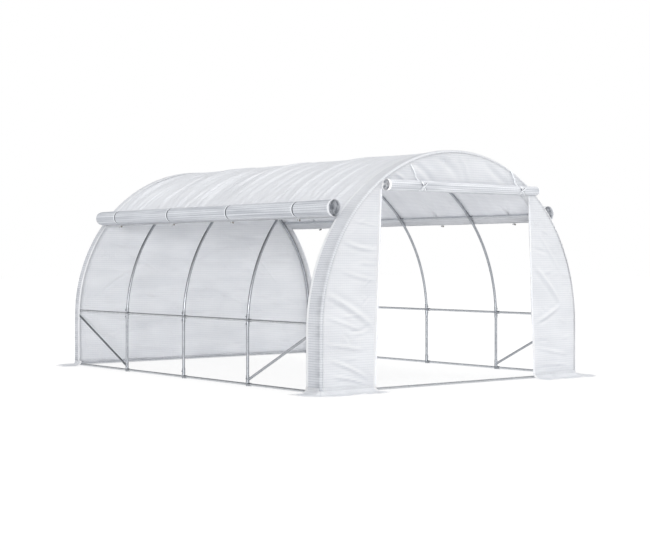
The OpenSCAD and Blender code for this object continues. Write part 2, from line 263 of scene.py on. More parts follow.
def moulded_plastic(name, pale, dark):
    """Moulded polypropylene: fine spark-eroded grain of 1.5 mm, satin, rubbed paler in patches."""
    made, tree = new_material(name)
    place = node(tree, "TexCoord", out="Object")
    grain = node(tree, "TexNoise", {"Vector": place, "Scale": 700.0, "Detail": 2.0})
    wear = node(tree, "TexNoise", {"Vector": place, "Scale": 60.0, "Detail": 3.0})
    share = node(tree, "MapRange", {0: wear, 1: 0.35, 2: 0.7}, **SMOOTH)
    paint = node(tree, "Mix", {0: share, 6: linear(dark), 7: linear(pale)}, out=2, data_type="RGBA")
    rough = node(tree, "MapRange", {0: grain, 1: 0.3, 2: 0.7, 3: 0.4, 4: 0.55}, **SMOOTH)
    finish_material(tree, paint, rough, node(tree, "Math", {0: grain, 1: 0.15 * MM}, operation="MULTIPLY"))
    return made


ROOF_FILM = reinforced_film(
    "reinforced_polyethylene_roof", "#f7f8fa", "#caccd2", "#f8f9fb", 0.4, 0.43, (1.1, 13), 8 * MM, 0.15, 0.08
)
WALL_FILM = reinforced_film(
    "reinforced_polyethylene_walls", "#f4f5f7", "#ced1d7", "#fafafb", 0.3, 0.45, (9, 1.6), 6 * MM, 0.12, 0.14
)
# the strips' grey beside their seam, low on the left, is painted shade
STRIP_FILM = reinforced_film(
    "reinforced_polyethylene_strips", "#e8eaee", "#b4b8c0", "#f6f7f9", 0.6, 0.3, (14, 4), 2 * MM, 0.15,
    dull=(1, 22 * MM, 110 * MM, 30 * MM, 0.35),
)
# the rolls' and the door roll's film is the walls' film drawn darker, as painted shade on the rolled layers;
# the inner turns and the folds' hollows take more painted shade
SHADED_ROLL_FILM = reinforced_film(
    "reinforced_polyethylene_rolls_painted_shade", "#d4d7dc", "#8f939c", "#e6e8ec", 0.7, 0.0, (28, 0.8), 5 * MM, 0.5,
    dull=(0, -1.0, 0.42, 0.47, 1.0),
)
SHADED_DOOR_FILM = reinforced_film(
    "reinforced_polyethylene_door_painted_shade", "#e1e3e7", "#8f939b", "#fbfbfc", 0.7, 0.0, (30, 1.2), 4 * MM, 0.5,
    dull=(0, -1.0, 0.28, 0.33, 1.0),
)
HOOP_STEEL = galvanised_steel("galvanised_steel_hoops", "#b4b7bc", "#a2a5ab", 0.34, 0.4)
LEG_STEEL = galvanised_steel("galvanised_steel_legs", "#b0b3b8", "#9fa2a8", 0.46, 0.54)
# the rails' steel is the same as the hoops' and legs', drawn paler as painted light
RAIL_STEEL_PAINTED_LIGHT = galvanised_steel("galvanised_steel_rails_painted_light", "#d6d8db", "#c8cbcf", 0.46, 0.54)
FITTING_STEEL = galvanised_steel("zinc_plated_fitting", "#adb0b5", "#989ba0")
BOLT_STEEL = galvanised_steel("zinc_plated_bolt", "#b4b8be", "#8a8f96", 0.2, 0.35)
# its dark grey edge colour is painted shadow beside the side straps and the bows
STRAP = woven_strap("polypropylene_webbing", "#fbfcfd", "#e2e5ea", "#5c6068")
PLAIN_STRAP = woven_strap("plain_polypropylene_webbing", "#fbfcfd", "#e6e9ed", "#dfe2e7")
ZIP_TAPE = woven_strap("zip_tape", "#fafbfd", "#e6e8ee", "#f1f3f6")
TOGGLE_PLASTIC = moulded_plastic("moulded_toggle_plastic", "#8b8680", "#6d6964")
ZIP_PLASTIC = moulded_plastic("moulded_zip_coil", "#f0f2f5", "#d4d7dd")

STEEL_OF = {
    ("arch", "braces"): HOOP_STEEL,
    ("legs",): LEG_STEEL,
    ("foot_sockets", "mid_tees", "purlin_tees"): FITTING_STEEL,
}
# parts not listed take the rails' steel, drawn paler as painted light
for title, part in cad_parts.items():
    finish = next((steel for starts, steel in STEEL_OF.items() if title.startswith(starts)), RAIL_STEEL_PAINTED_LIGHT)
    part.data.materials.clear()
    part.data.materials.append(finish)

# ---------------------------------------------------------------- making cloth


def steps(a, b, spacing):
    """Evenly spaced values from a to b, at most spacing apart."""
    return np.linspace(a, b, max(2, int(math.ceil(abs(b - a) / spacing)) + 1))


def crease(u, v, a, b, width, height, bend=0.0, fade="both"):
    """Height at (u, v) of one crease from a to b, given half its width. It fades at both ends, or at b."""
    a, b = np.array(a, float), np.array(b, float)
    long = np.linalg.norm(b - a)
    du, dv = (b - a) / long
    along = ((u - a[0]) * du + (v - a[1]) * dv) / long
    across = (v - a[1]) * du - (u - a[0]) * dv
    across = across - bend * 4 * along * (1 - along)
    inside = np.clip(along, 0, 1)
    taper = np.sin(np.pi * inside) ** 0.7 if fade == "both" else (1 - inside) ** 1.2 * (along > -0.02)
    ridge = np.exp(-((across / width) ** 2)) - 0.35 * np.exp(-(((np.abs(across) - 2.1 * width) / width) ** 2))
    return height * ridge * taper * (along < 1) * (along > -0.02)


def swell(u, v, rng, count, wave, height):
    """Soft random undulation made of a few waves of about one length."""
    total = np.zeros_like(u)
    for _ in range(count):
        way, phase = rng.uniform(0, math.pi), rng.uniform(0, 2 * math.pi)
        length = wave * rng.uniform(0.7, 1.5)
        total += np.sin(2 * math.pi * (u * math.cos(way) + v * math.sin(way)) / length + phase)
    return total * height / count**0.5


def pick(*pieces):
    """Selects these pieces and no others, and makes the first one active."""
    bpy.ops.object.select_all(action="DESELECT")
    for piece in pieces:
        piece.select_set(True)
    bpy.context.view_layer.objects.active = pieces[0]


def work(piece, kind, **settings):
    """Applies a modifier to the active piece."""
    made = piece.modifiers.new(kind.lower(), kind)
    for key, value in settings.items():
        setattr(made, key, value)
    bpy.ops.object.modifier_apply(modifier=made.name)


def run_of(points):
    """The way along a row of points from the first one."""
    return np.concatenate([[0], np.cumsum(np.linalg.norm(np.diff(points, axis=0), axis=1))])


def face_out(piece):
    """Turns a closed mesh that is inside out."""
    made = bmesh.new()
    made.from_mesh(piece.data)
    if made.calc_volume(signed=True) < 0:
        bmesh.ops.reverse_faces(made, faces=made.faces)
        made.to_mesh(piece.data)
    made.free()


def cloth_mesh(name, points, flat, material, hem=None, thick=FILM_T, slack=None, painted_light=None):
    """A sheet from a grid of points, with the flat place of each point as its UV map in metres.
    hem gives each point's distance from a hemmed edge, slack how loose the cloth is there, up to 1, and the
    last is painted light and shade, from -0.5 to 0.5: paler as painted light on a crease's upper flank and
    over the top and right of the end strips, darker as painted shade on a crease's lower flank."""
    rows, cols = points.shape[:2]
    index = np.arange(rows * cols).reshape(rows, cols)
    quads = np.stack([index[:-1, :-1], index[1:, :-1], index[1:, 1:], index[:-1, 1:]], -1).reshape(-1, 4)
    mesh = bpy.data.meshes.new(name)
    mesh.from_pydata(points.reshape(-1, 3).tolist(), [], quads.tolist())
    layer = mesh.uv_layers.new(name="cloth")
    uv = flat.reshape(-1, 2)[quads.reshape(-1)]
    layer.data.foreach_set("uv", uv.astype(np.float32).ravel())
    for title, values, usual in (("hem", hem, 1.0), ("slack", slack, 1.0), ("painted_light", painted_light, 0.0)):
        values = np.full(rows * cols, usual) if values is None else values.reshape(-1)
        mesh.attributes.new(title, "FLOAT", "POINT").data.foreach_set("value", values.astype(np.float32))
    mesh.materials.append(material)
    sheet = bpy.data.objects.new(name, mesh)
    bpy.context.scene.collection.objects.link(sheet)
    pick(sheet)
    work(sheet, "SOLIDIFY", thickness=thick, offset=0)
    face_out(sheet)
    for face in sheet.data.polygons:
        face.use_smooth = True
    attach(sheet, "root")
    return sheet


def round_tunnel(s, h):
    """X and Z at the way s round the cover's cross-section from the left foot, at h out from the hoops."""
    turn = np.clip((s - LEG_H) / CLOTH_R, 0, math.pi)
    drop = np.maximum(LEG_H - s, 0) + np.maximum(s - LEG_H - HALF_TURN, 0)
    reach = HOOP_R + h
    return -reach * np.cos(turn), LEG_H + reach * np.sin(turn) - drop


def way_at(angle):
    """The way along the cross-section at an angle above level on the right side."""
    return LEG_H + CLOTH_R * (math.pi - angle)


ROOF_START, ROOF_END = way_at(math.pi - ROOF_A), way_at(ROOF_A)
TIE_W = 14 * MM
TIE_COUNT = 4
TIE_Y = {}
for side in SIDES:
    low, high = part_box(f"side_ties_{side}")
    TIE_Y[side] = np.linspace(low.y + TIE_W / 2, high.y - TIE_W / 2, TIE_COUNT)

# ---------------------------------------------------------------- roof

SAG = 26 * MM
SAG_ON_PURLIN = 3.5 * MM


def sag_between_hoops(s, y):
    """How far the roof hangs in between the hoops and the purlins."""
    bay = (HOOP_Y[-1] - HOOP_Y[0]) / (len(HOOP_Y) - 1)
    share = np.clip((y - HOOP_Y[0]) / bay, 0, len(HOOP_Y) - 1) % 1.0
    dip = (4 * share * (1 - share)) ** 0.85
    angle = math.pi - (s - LEG_H) / CLOTH_R
    from_ridge = np.abs(angle - math.pi / 2) / (math.pi / 2 - SHOULDER_A)
    free = np.sin(math.pi * np.clip(from_ridge, 0, 1)) ** 0.9
    return dip * (SAG_ON_PURLIN + (SAG - SAG_ON_PURLIN) * free)


def clear_of_frame(s, y, h):
    """h kept off the hoops and purlins under the cloth."""
    over = np.full_like(h, -1.0)
    for hoop in HOOP_Y:
        over = np.where(np.abs(y - hoop) < 1.3 * TUBE_R, CLOTH_H - 0.8 * MM, over)
    for angle in (SHOULDER_A, math.pi / 2, math.pi - SHOULDER_A):
        off = np.abs(s - way_at(angle))
        over = np.where(off < RAIL_R, np.maximum(over, RAIL_R + 1.2 * MM), over)
    return np.maximum(h, over)


def roof_sheet():
    """The roof between the side rolls, with its creases. Gives back the grid that it is made on and the
    height of each point, for what lies on it."""
    rng = np.random.default_rng(7)
    overlap = 12 * MM
    ways = steps(ROOF_START, ROOF_END, 26 * MM)
    lines = steps(FRONT_BAND_Y - overlap, REAR_EDGE_Y + overlap, 11.5 * MM)
    s, y = np.meshgrid(ways, lines, indexing="ij")
    h = CLOTH_H - sag_between_hoops(s, y)
    h += swell(s, y, rng, 6, 0.9, 1.5 * MM)
    long = REAR_BAND_Y - FRONT_BAND_Y
    # more and stronger creases on the left, where the sheet is slacker
    sides = (("left", ROOF_START, 1, 66, 1.1), ("right", ROOF_END, -1, 34, 0.35))
    for side, edge, way, count, strong in sides:
        for _ in range(count):
            # the sheet is slacker towards the closed end, so creases stand closer there
            place = FRONT_BAND_Y + long * rng.uniform(0, 1) ** 0.75
            start = edge + way * rng.uniform(-0.05, 0.3)
            end = start + way * rng.uniform(0.55, 1.25)
            slant = rng.normal(0.05, 0.06)
            width, height = rng.uniform(16, 30) * MM, rng.uniform(2.5, 8.5) * MM * strong
            h += crease(s, y, (start, place), (end, place + slant), width, height, bend=rng.normal(0, 0.03))
        for place in TIE_Y[side]:
            for lean, size in ((-0.20, 8.0), (-0.08, 6.0), (0.07, 6.0), (0.19, 8.0)):
                start, end = edge + way * 0.09, edge + way * rng.uniform(0.42, 0.6)
                h += crease(s, y, (start, place), (end, place + lean), 15 * MM, size * MM, fade="end")
            pull = ((s - edge - way * 0.1) / 0.05) ** 2 + ((y - place) / 0.04) ** 2
            h -= 2.5 * MM * np.exp(-pull)
    h = clear_of_frame(s, y, h)
    # lies under the end strips where they overlap
    under = np.minimum(y - lines[0], lines[-1] - y) < overlap
    h = np.where(under, np.minimum(h, CLOTH_H - 0.3 * MM), h)
    x, z = round_tunnel(s, h)
    points = np.stack([x, y, z], -1)
    # it is pulled tighter on the right, so its folds stand lower there and carry less painted shade
    slack = np.clip(1.15 - (s - ROOF_START) / (ROOF_END - ROOF_START), 0.25, 1)
    flat = np.stack([s, y], -1)
    sheet = cloth_mesh("roof_sheet", points, flat, ROOF_FILM, slack=slack)
    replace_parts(sheet, "roof_cover")
    return ways, lines, h


def end_strip(name, hoop, inner_edge, outward, seed, nodes):
    """The strip of cover round an end of the tunnel, from foot to foot. It turns round the end hoop and is
    sewn to the end wall behind it, where the seam puckers."""
    rng = np.random.default_rng(seed)
    seam_h = -5 * MM
    turn = [math.radians(a) for a in np.linspace(90, 0, 8)][1:-1]
    profile = [(h, outward * CLOTH_H) for h in steps(seam_h, 0, 5.5 * MM)]
    profile += [(CLOTH_H * math.cos(a), outward * CLOTH_H * math.sin(a)) for a in turn]
    width = abs(inner_edge - hoop)
    profile += [(CLOTH_H, -outward * d) for d in steps(0, width, 9 * MM)]
    profile = np.array(profile)
    run = run_of(profile)
    ahead = np.gradient(profile, axis=0)
    ahead /= np.linalg.norm(ahead, axis=1)[:, None]
    ways = steps(WALL_Z, PATH_END - WALL_Z, 11 * MM)
    s, q = np.meshgrid(ways, run, indexing="ij")
    # small puckers along the seam and across the strip
    rise = swell(s, q, rng, 5, 0.35, 0.5 * MM)
    pitch = 34 * MM
    uneven = 2.6 * np.sin(s * 5.3) + 1.9 * np.sin(s * 11.9 + 1) + 0.9 * np.sin(s * 31 + 2)
    phase = 2 * math.pi * s / pitch + uneven
    gather = (0.55 + 0.45 * np.sin(s * 3.1 + 0.6)) * (0.5 + 0.5 * np.sin(phase)) ** 2
    rise += 7 * MM * gather * np.exp(-q / (15 * MM))
    for _ in range(150):
        place, start = rng.uniform(WALL_Z, PATH_END - WALL_Z), rng.uniform(0.02, 0.12)
        end = (start + rng.uniform(0.05, 0.12), place + rng.normal(0, 0.02))
        width, height = rng.uniform(6, 11) * MM, rng.uniform(0.5, 1.8) * MM
        rise += crease(q, s, (start, place), end, width, height)
    sag = sag_between_hoops(s, hoop - outward * np.maximum(q - 0.06, 0))
    on_roof = (s > ROOF_START) & (s < ROOF_END)
    hem_in = 22 * MM  # the turned hem lifts the strip a little
    rise += np.where(q > run[-1] - hem_in, 0.4 * MM, 0.0)
    h = profile[None, :, 0] - rise * ahead[None, :, 1] * outward
    y = hoop + profile[None, :, 1] + rise * ahead[None, :, 0] * outward
    flat_part = profile[None, :, 0] > CLOTH_H * 0.98
    h = h - np.where(on_roof, sag, 0.35 * sag) * flat_part
    h = np.where(flat_part & on_roof, clear_of_frame(s, np.broadcast_to(y, s.shape), h), h)
    x, z = round_tunnel(s, h)
    points = np.stack([x, np.broadcast_to(y, s.shape), z], -1)
    # painted light: paler over the top and on the right. Low on the left the cloth is slack, its folds stand
    # higher, and painted shade greys it beside the seam.
    slack = np.clip(np.where(x < 0, 1.6 - z, 0.35), 0.35, 1)
    painted_light = np.clip(np.maximum(1.6 * x, 0.6 * (z - 1.2)), 0, np.where(x > 0.6, 0.5, 0.25))
    flat = np.stack([s, q], -1)
    sheet = cloth_mesh(name, points, flat, STRIP_FILM, hem=run[-1] - q, slack=slack, painted_light=painted_light)
    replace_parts(sheet, *nodes)


ROOF_GRID = roof_sheet()
end_strip("front_strip", HOOP_Y[0], FRONT_BAND_Y, -1, 11, ("front_band_left", "front_band_right"))
end_strip("rear_strip", HOOP_Y[-1], REAR_EDGE_Y, 1, 12, ("rear_band_left", "rear_band_right"))

# ---------------------------------------------------------------- end walls

ZIP_LOW, ZIP_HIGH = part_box("door_zip_right")
DOOR_TOP = ZIP_HIGH.z
ZIP_W = 16 * MM
DOOR_HEAD, DOOR_FOOT = ZIP_LOW.x, ZIP_HIGH.x - ZIP_W
WALL_RIM = HOOP_R - 1 * MM  # the walls end behind the strips' sewn edges
WALL_GAP = 1.3 * MM  # and that far behind the strips' faces
FRONT_Y = HOOP_Y[0] - CLOTH_H + WALL_GAP
REAR_Y = HOOP_Y[-1] + CLOTH_H - WALL_GAP


def front_wall():
    """One sheet round three sides of the doorway, from the left foot over the gable to the right foot."""
    rng = np.random.default_rng(21)
    rim_a = math.asin((DOOR_TOP - LEG_H) / WALL_RIM)
    narrowing = (DOOR_HEAD - DOOR_FOOT) / (DOOR_TOP - WALL_Z)

    def rim(angles):
        return [(-WALL_RIM * math.cos(a), LEG_H + WALL_RIM * math.sin(a)) for a in angles]

    outer = [(-WALL_RIM, z) for z in steps(WALL_Z, LEG_H, 16 * MM)[:-1]] + rim(steps(0, rim_a, 0.0105))
    inner = [(-DOOR_FOOT - narrowing * (p[1] - WALL_Z), p[1]) for p in outer]
    over = steps(rim_a, math.pi - rim_a, 0.0125)[1:-1]
    gable_outer = rim(over)
    gable_inner = [(x, DOOR_TOP) for x in np.linspace(-DOOR_HEAD, DOOR_HEAD, len(over) + 2)[1:-1]]
    right_outer = [(-x, z) for x, z in reversed(outer)]
    right_inner = [(-x, z) for x, z in reversed(inner)]
    outer = np.array(outer + gable_outer + right_outer)
    inner = np.array(inner + gable_inner + right_inner)
    share = np.linspace(0, 1, 31) ** 0.9
    grid = outer[:, None] + (inner - outer)[:, None] * share[None, :, None]
    x, z = grid[..., 0], grid[..., 1]
    span = np.linalg.norm(inner - outer, axis=1)[:, None]
    from_door, from_rim = span * (1 - share)[None, :], span * share[None, :]
    loose = np.clip(from_rim / 0.12, 0, 1) ** 1.5
    out = swell(x, z, rng, 7, 0.55, 3.0 * MM) * loose
    # the gable bulges a little between the hoop and the door roll
    gable = np.exp(-(((z - 1.82) / 0.11) ** 2)) * np.clip((1.05 - np.abs(x)) / 0.6, 0, 1)
    out -= 7 * MM * gable * loose
    lines = [
        # gable: slanting folds that hang from the hoop
        ((-0.62, 1.93), (-0.28, 1.70), 24, -5.5, 0.02), ((-0.30, 1.95), (0.02, 1.74), 30, -4.5, 0.03),
        ((0.30, 1.93), (0.62, 1.72), 26, -4.0, -0.02), ((-0.80, 1.83), (-0.60, 1.72), 15, 4.0, 0.0),
        ((0.02, 1.96), (0.12, 1.72), 22, 3.5, 0.02), ((0.66, 1.86), (0.95, 1.73), 14, 3.0, 0.0),
        # left panel: a slack diagonal at mid height and pulls from the foot
        ((-1.47, 0.80), (-0.95, 0.52), 20, 6.0, 0.02), ((-1.47, 0.62), (-1.08, 0.50), 13, 3.0, 0.0),
        ((-1.42, 0.27), (-1.00, 0.10), 12, 4.0, 0.015), ((-1.47, 0.40), (-1.05, 0.34), 12, 3.0, 0.0),
        ((-1.40, 0.14), (-1.02, 0.06), 10, 3.5, 0.01), ((-1.30, 0.98), (-0.92, 0.90), 14, 3.0, -0.01),
        ((-1.28, 1.22), (-0.90, 1.15), 15, 3.6, -0.02), ((-1.18, 1.38), (-0.90, 1.34), 9, 2.0, 0.0),
        # right panel: a shallow V
        ((0.93, 1.02), (1.30, 0.66), 20, 5.5, 0.02), ((1.30, 0.66), (0.95, 0.50), 16, 4.0, 0.01),
        ((1.00, 1.30), (1.30, 0.95), 14, 2.6, 0.0), ((0.95, 0.28), (1.40, 0.20), 12, 2.6, 0.0),
        ((1.02, 0.12), (1.45, 0.10), 10, 2.5, 0.01),
    ]
    # painted light and shade on the creases: the upper flank paler, the lower flank darker
    painted_light = np.zeros_like(x)
    folds = [
        (a, b, width * MM, 1.7 * height * MM, bend, np.clip(from_rim / 0.05, 0, 1))
        for a, b, width, height, bend in lines
    ]
    for _ in range(60):
        side = rng.choice([-1, 1])
        a = (side * rng.uniform(0.95, 1.4), rng.uniform(0.05, 1.45))
        b = (a[0] + rng.uniform(-0.22, 0.22), a[1] + rng.normal(0, 0.04))
        folds.append((a, b, rng.uniform(9, 16) * MM, 1.3 * rng.uniform(-3.0, 3.6) * MM, 0.0, loose))
    for *fold, share_of in folds:
        out -= crease(x, z, *fold) * share_of
        flank = crease(x, z - 4 * MM, *fold) - crease(x, z + 4 * MM, *fold)
        painted_light += flank / (8 * MM) * share_of
    hem = np.where(z < DOOR_TOP + 1 * MM, from_door, 1.0)
    points = np.stack([x, FRONT_Y + out, z], -1)
    sheet = cloth_mesh("front_wall", points, np.stack([z, x], -1), WALL_FILM, hem=hem, painted_light=painted_light)
    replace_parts(sheet, "gable_panel", "front_panel_left", "front_panel_right")
    a, b, c, d = grid[:-1, 0], grid[:-1, -1], grid[1:, -1], grid[1:, 0]


def rear_wall():
    """The closed end: one sheet from the ground up to the hoop, slack enough to show level pulls."""
    rng = np.random.default_rng(22)
    turns = np.linspace(-math.pi / 2, math.pi / 2, 236)
    share = np.linspace(0, 1, 166)
    x = np.broadcast_to((WALL_RIM * np.sin(turns))[:, None], (len(turns), len(share))).copy()
    top = LEG_H + WALL_RIM * np.cos(turns)[:, None]
    z = WALL_Z + (top - WALL_Z) * share[None, :]
    from_rim = np.where(z < LEG_H, WALL_RIM - np.abs(x), WALL_RIM - np.hypot(x, z - LEG_H))
    loose = np.clip(from_rim / 0.15, 0, 1) ** 1.3
    out = swell(x, z, rng, 7, 0.7, 4.0 * MM) * loose
    for _ in range(80):
        a = (rng.uniform(-1.35, 1.0), rng.uniform(0.06, 1.75))
        b = (a[0] + rng.uniform(0.3, 0.9), a[1] + rng.normal(0, 0.08))
        width, height, bend = rng.uniform(10, 22) * MM, rng.uniform(2, 7) * MM, rng.normal(0, 0.03)
        out += crease(x, z, a, b, width, height, bend) * loose
    for a, b in (
        ((-1.25, 0.70), (-0.55, 1.10)), ((-1.05, 1.20), (-0.35, 0.85)), ((-0.3, 0.95), (0.5, 1.25)),
        ((-0.9, 0.30), (-0.2, 0.5)), ((0.1, 0.75), (0.9, 0.45)), ((0.0, 0.1), (0.14, 0.26)),
        ((0.55, 1.3), (1.05, 0.8)),
    ):
        out += crease(x, z, a, b, 13 * MM, 7 * MM, 0.02) * loose
    points = np.stack([x, REAR_Y + out, z], -1)
    sheet = cloth_mesh("rear_wall_sheet", points, np.stack([z, x], -1), WALL_FILM)
    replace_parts(sheet, "rear_wall")


front_wall()
rear_wall()

# ---------------------------------------------------------------- rolls


def spiral(outer_r, core_r, long, inner_segments, outer_segments):
    """Turn angles and radii of a sheet of that length rolled up, from its last turn inwards."""
    turns = long / (math.pi * (outer_r + core_r))
    edge = np.linspace(0, 2 * math.pi, outer_segments + 1)
    rest = np.linspace(2 * math.pi, 2 * math.pi * turns, int((turns - 1) * inner_segments))[1:]
    angle = np.concatenate([edge, rest])
    return angle, outer_r - (outer_r - core_r) * angle / angle[-1]


def rolled_sheet(
    name, stands_for, frame_axes, outer_r, core_r, long, ends, ties, segments, seed, material, taper
):
    """A sheet rolled up round an axis. frame_axes are the centre, the axis and the way from the wall to the
    roll; the sheet comes down from the wall at the roll's back and turns under, out and over. segments are
    the steps in one inner turn and in the outermost. The roll tapers towards its last end. Gives back the
    roll's radius at each tie."""
    rng = np.random.default_rng(seed)
    centre, along, out = (Vector(v) for v in frame_axes)
    rise = along.cross(out)
    rise *= math.copysign(1, rise.z)
    angle, radius = spiral(outer_r, core_r, long, *segments)
    first, last = ends
    # rows stand closer at the ends and at the ties
    stops = list(np.linspace(first, last, 34))
    stops += [first + d * MM for d in (4, 10, 20, 35)] + [last - d * MM for d in (4, 10, 20, 35, 50)]
    for tie in ties:
        stops += [tie + way * d * MM for d in (0, 9, 16, 24, 34, 50) for way in (-1, 1)]
    stops = np.unique(np.round(stops, 5))
    stops = stops[np.concatenate([[True], np.diff(stops) > 2.5 * MM])]
    t, w = np.meshgrid(angle, stops, indexing="ij")
    r = np.broadcast_to(radius[:, None], t.shape).copy()
    depth = np.clip(t / (2 * math.pi), 0, 3)  # turns below the surface
    # lengthwise ridges of stiff film on the turns that show
    ridges = np.zeros_like(t)
    fine = round(2 * math.pi * outer_r / GRID_PITCH)
    for count, size in ((5, 0.8), (9, 0.7), (round(fine * 0.6), 0.8), (fine, 1.3)):
        drift = rng.uniform(0, 6.3) + 0.7 * np.sin(w * rng.uniform(0.8, 2.2) + rng.uniform(0, 6.3))
        ridges += size * np.sin(count * t + drift)
    r += (ridges - 1.5) * 0.8 * MM * np.exp(-depth * 0.9)
    # soft swelling along its length, pulled in by the ties
    squeeze = 0.98
    for size, pace in ((0.012, 5.1), (0.008, 11.3)):
        squeeze = squeeze + size * np.sin(w * pace + rng.uniform(0, 6.3))
    squeeze += 0.04 * np.exp(-(w - first) / 0.06)
    for tie in ties:
        # a groove under the webbing, and a slight bulge on both sides of it
        squeeze -= 0.15 * np.exp(-(((w - tie) / 0.0165) ** 4)) - 0.018 * np.exp(-(((w - tie) / 0.05) ** 2))
    squeeze *= 1 - taper * np.clip((w - first) / (last - first), 0, 1) ** 1.5
    closing = np.clip((w - (last - 0.045)) / 0.045, 0, 1)
    squeeze *= 1 - 0.30 * closing**2.2
    r *= squeeze
    # the inner turns are pressed flat, and lie deeper than the rim
    inward = np.clip(1 - radius / outer_r - 0.12, 0, 1)[:, None]
    a = math.pi + t
    level = Vector((out.x, out.y, 0)).normalized()
    side = r * (np.cos(a) * out.dot(level) + np.sin(a) * rise.dot(level)) * (1 - 0.78 * inward**0.8)
    up = r * (np.cos(a) * out.z + np.sin(a) * rise.z) * (1 + 0.85 * inward**1.2)
    side += inward * 3 * MM * np.sin(2.0 * t + 0.7)
    recess = 0.006 * np.minimum(depth, 1) + 0.06 * inward**0.8 * (1 + 0.25 * np.sin(1.7 * t + 1))
    place = w + recess * np.exp(-(w - first) / 0.09)
    points = (
        np.array(centre) + side[..., None] * np.array(level) + up[..., None] * np.array((0, 0, 1))
        + place[..., None] * np.array(along)
    )
    run = np.concatenate([[0], np.cumsum(0.5 * (radius[1:] + radius[:-1]) * np.diff(angle))])
    flat = np.stack([np.broadcast_to(run[:, None], t.shape), w], -1)
    hem = np.minimum(w - first, last - w)
    sheet = cloth_mesh(name, points, flat, material, hem=hem, thick=1 * MM)
    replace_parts(sheet, stands_for)
    return [r[: segments[1], np.argmin(np.abs(stops - tie))].max() for tie in ties]


SIDE_LONG, DOOR_LONG = 1.70, 1.82  # a side from the roof to the ground, and the door, each with an overlap
SIDE_CORE_R, DOOR_CORE_R = 15 * MM, 9 * MM
ROLL = {}
for side, forward, seed in (("left", 0, 31), ("right", 55 * MM, 32)):
    low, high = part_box(f"side_roll_{side}")
    roll_r = (high.z - low.z) / 2
    middle = Vector(((low.x + high.x) / 2, 0, (low.z + high.z) / 2))
    way = (middle - Vector((0, 0, LEG_H))).normalized()
    # it hangs a little away from the roof and down in its ties
    middle += way * 2 * MM - Vector((0, 0, 2 * MM))
    tied = rolled_sheet(
        f"side_roll_sheet_{side}", f"side_roll_{side}", (middle, (0, 1, 0), way), roll_r + 1 * MM,
        SIDE_CORE_R, SIDE_LONG, (low.y - forward, high.y - 75 * MM), TIE_Y[side], (34, 150), seed, SHADED_ROLL_FILM,
        0.03,
    )
    ROLL[side] = (middle, way, tied)

DOOR_LOW, DOOR_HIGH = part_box("door_roll")
DOOR_R = (DOOR_HIGH.z - DOOR_LOW.z) / 2
DOOR_AXIS = Vector((0, (DOOR_LOW.y + DOOR_HIGH.y) / 2, (DOOR_LOW.z + DOOR_HIGH.z) / 2))
DOOR_TIE_LOW, DOOR_TIE_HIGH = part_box("door_ties")
DOOR_TIE_X = (DOOR_TIE_LOW.x + TIE_W / 2, DOOR_TIE_HIGH.x - TIE_W / 2)
DOOR_TIED = rolled_sheet(
    "door_roll_sheet", "door_roll", (DOOR_AXIS, (1, 0, 0), (0, -1, 0)), DOOR_R - 1 * MM, DOOR_CORE_R,
    DOOR_LONG, (DOOR_LOW.x, DOOR_HIGH.x - 15 * MM), DOOR_TIE_X, (26, 110), 33, SHADED_DOOR_FILM,
    0.12,
)

# ---------------------------------------------------------------- skirts


def skirt(name, corners, seed, node_list, reach):
    """A strip sewn to the foot of the wall: it drops to the ground, turns outwards and lies there in ripples.
    corners are the turning points of the wall's foot, walked with the outside on the right hand."""
    rng = np.random.default_rng(seed)
    bend_r = 30 * MM
    sewn_z, rest_z, up_wall = 52 * MM, 1.2 * MM, 30 * MM
    foot, normals = [], []
    corners = [np.array(c, float) for c in corners]
    for k in range(len(corners) - 1):
        a, b = corners[k], corners[k + 1]
        d = (b - a) / np.linalg.norm(b - a)
        n = np.array([d[1], -d[0]])
        start = a + (d * bend_r if k > 0 else 0)
        end = b - (d * bend_r if k < len(corners) - 2 else 0)
        for p in np.linspace(0, 1, len(steps(0, np.linalg.norm(end - start), 16 * MM))):
            foot.append(start + (end - start) * p)
            normals.append(n)
        if k < len(corners) - 2:
            e = (corners[k + 2] - b) / np.linalg.norm(corners[k + 2] - b)
            m = np.array([e[1], -e[0]])
            for p in np.linspace(0, 1, 14)[1:-1]:
                turn = n * math.cos(p * math.pi / 2) + m * math.sin(p * math.pi / 2)
                foot.append(end - n * bend_r + turn * bend_r)
                normals.append(turn / np.linalg.norm(turn))
    foot, normals = np.array(foot), np.array(normals)
    run = run_of(foot)
    drop = 60 * MM  # the rows stand closer down to the ground
    v = np.concatenate([np.linspace(0, drop, 8), np.linspace(drop, reach + up_wall, 15)[1:]])
    u, v = np.meshgrid(run, v, indexing="ij")
    # the strip's own curve: down the wall, round, and out along the ground
    fall = np.clip(v / (75 * MM), 0, 1)
    z = sewn_z * (1 - fall) ** 1.35 + rest_z
    out = 2.2 * MM + np.clip(v - 28 * MM, 0, None) * (reach / (reach + 2 * MM)) + 4 * MM * fall
    out = np.minimum(out, reach)
    far = np.clip((v - 50 * MM) / (100 * MM), 0, 1)
    wave = np.sin(2 * math.pi * u / 0.31 + 1.3 * np.sin(u * 2.1 + seed))
    wave += 0.6 * np.sin(2 * math.pi * u / 0.13 + seed)
    ripple = 4.5 * MM * np.clip(wave, 0, None) + 1.2 * MM * (1 + np.sin(u * 60 + v * 20))
    z = z + far * ripple + np.clip(swell(u, v, rng, 5, 0.12, 1.0 * MM), 0, None) * far
    ground = foot[:, None] + normals[:, None] * out[..., None]
    points = np.concatenate([ground, z[..., None]], -1)
    edge = np.minimum(v[..., -1:] - v, np.minimum(u, run[-1] - u))
    sheet = cloth_mesh(name, points, np.stack([u, v], -1), WALL_FILM, hem=edge)
    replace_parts(sheet, *node_list)


